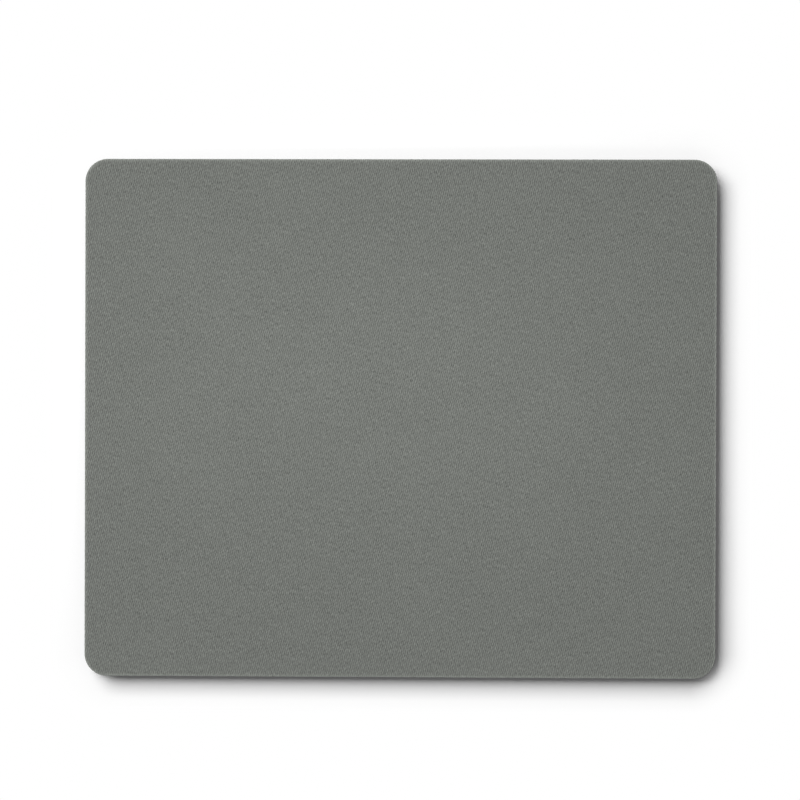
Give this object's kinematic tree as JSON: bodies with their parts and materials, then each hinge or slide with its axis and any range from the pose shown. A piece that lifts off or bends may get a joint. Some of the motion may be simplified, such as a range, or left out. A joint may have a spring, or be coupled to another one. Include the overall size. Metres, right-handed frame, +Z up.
{
  "type": "mouse pad",
  "caption": "Plain grey cloth mouse pad with rounded corners: knitted top, foam core and embossed rubber grip base, laminated with bond films.",
  "frame": {"origin": "middle of the underside, on the plane of the grip lands that rest on the desk", "axes": "+X along the long side, to the right as the user sees it; +Y away from the user, along the short side; +Z up, out of the cloth"},
  "size_m": [0.223, 0.183, 0.006],
  "materials": {
    "grey_cloth": "fine knitted polyester, matt with a faint sheen",
    "black_foam": "fine closed-cell foam with a cut edge, matt",
    "black_rubber": "embossed non-slip skin, dull",
    "bond_film": "milky hot-melt film, smooth"
  },
  "bodies": {
    "root": {"grip_base": "black_rubber", "base_bond": "bond_film", "foam_core": "black_foam", "cloth_bond": "bond_film", "cloth_top": "grey_cloth"}
  },
  "joints": []
}
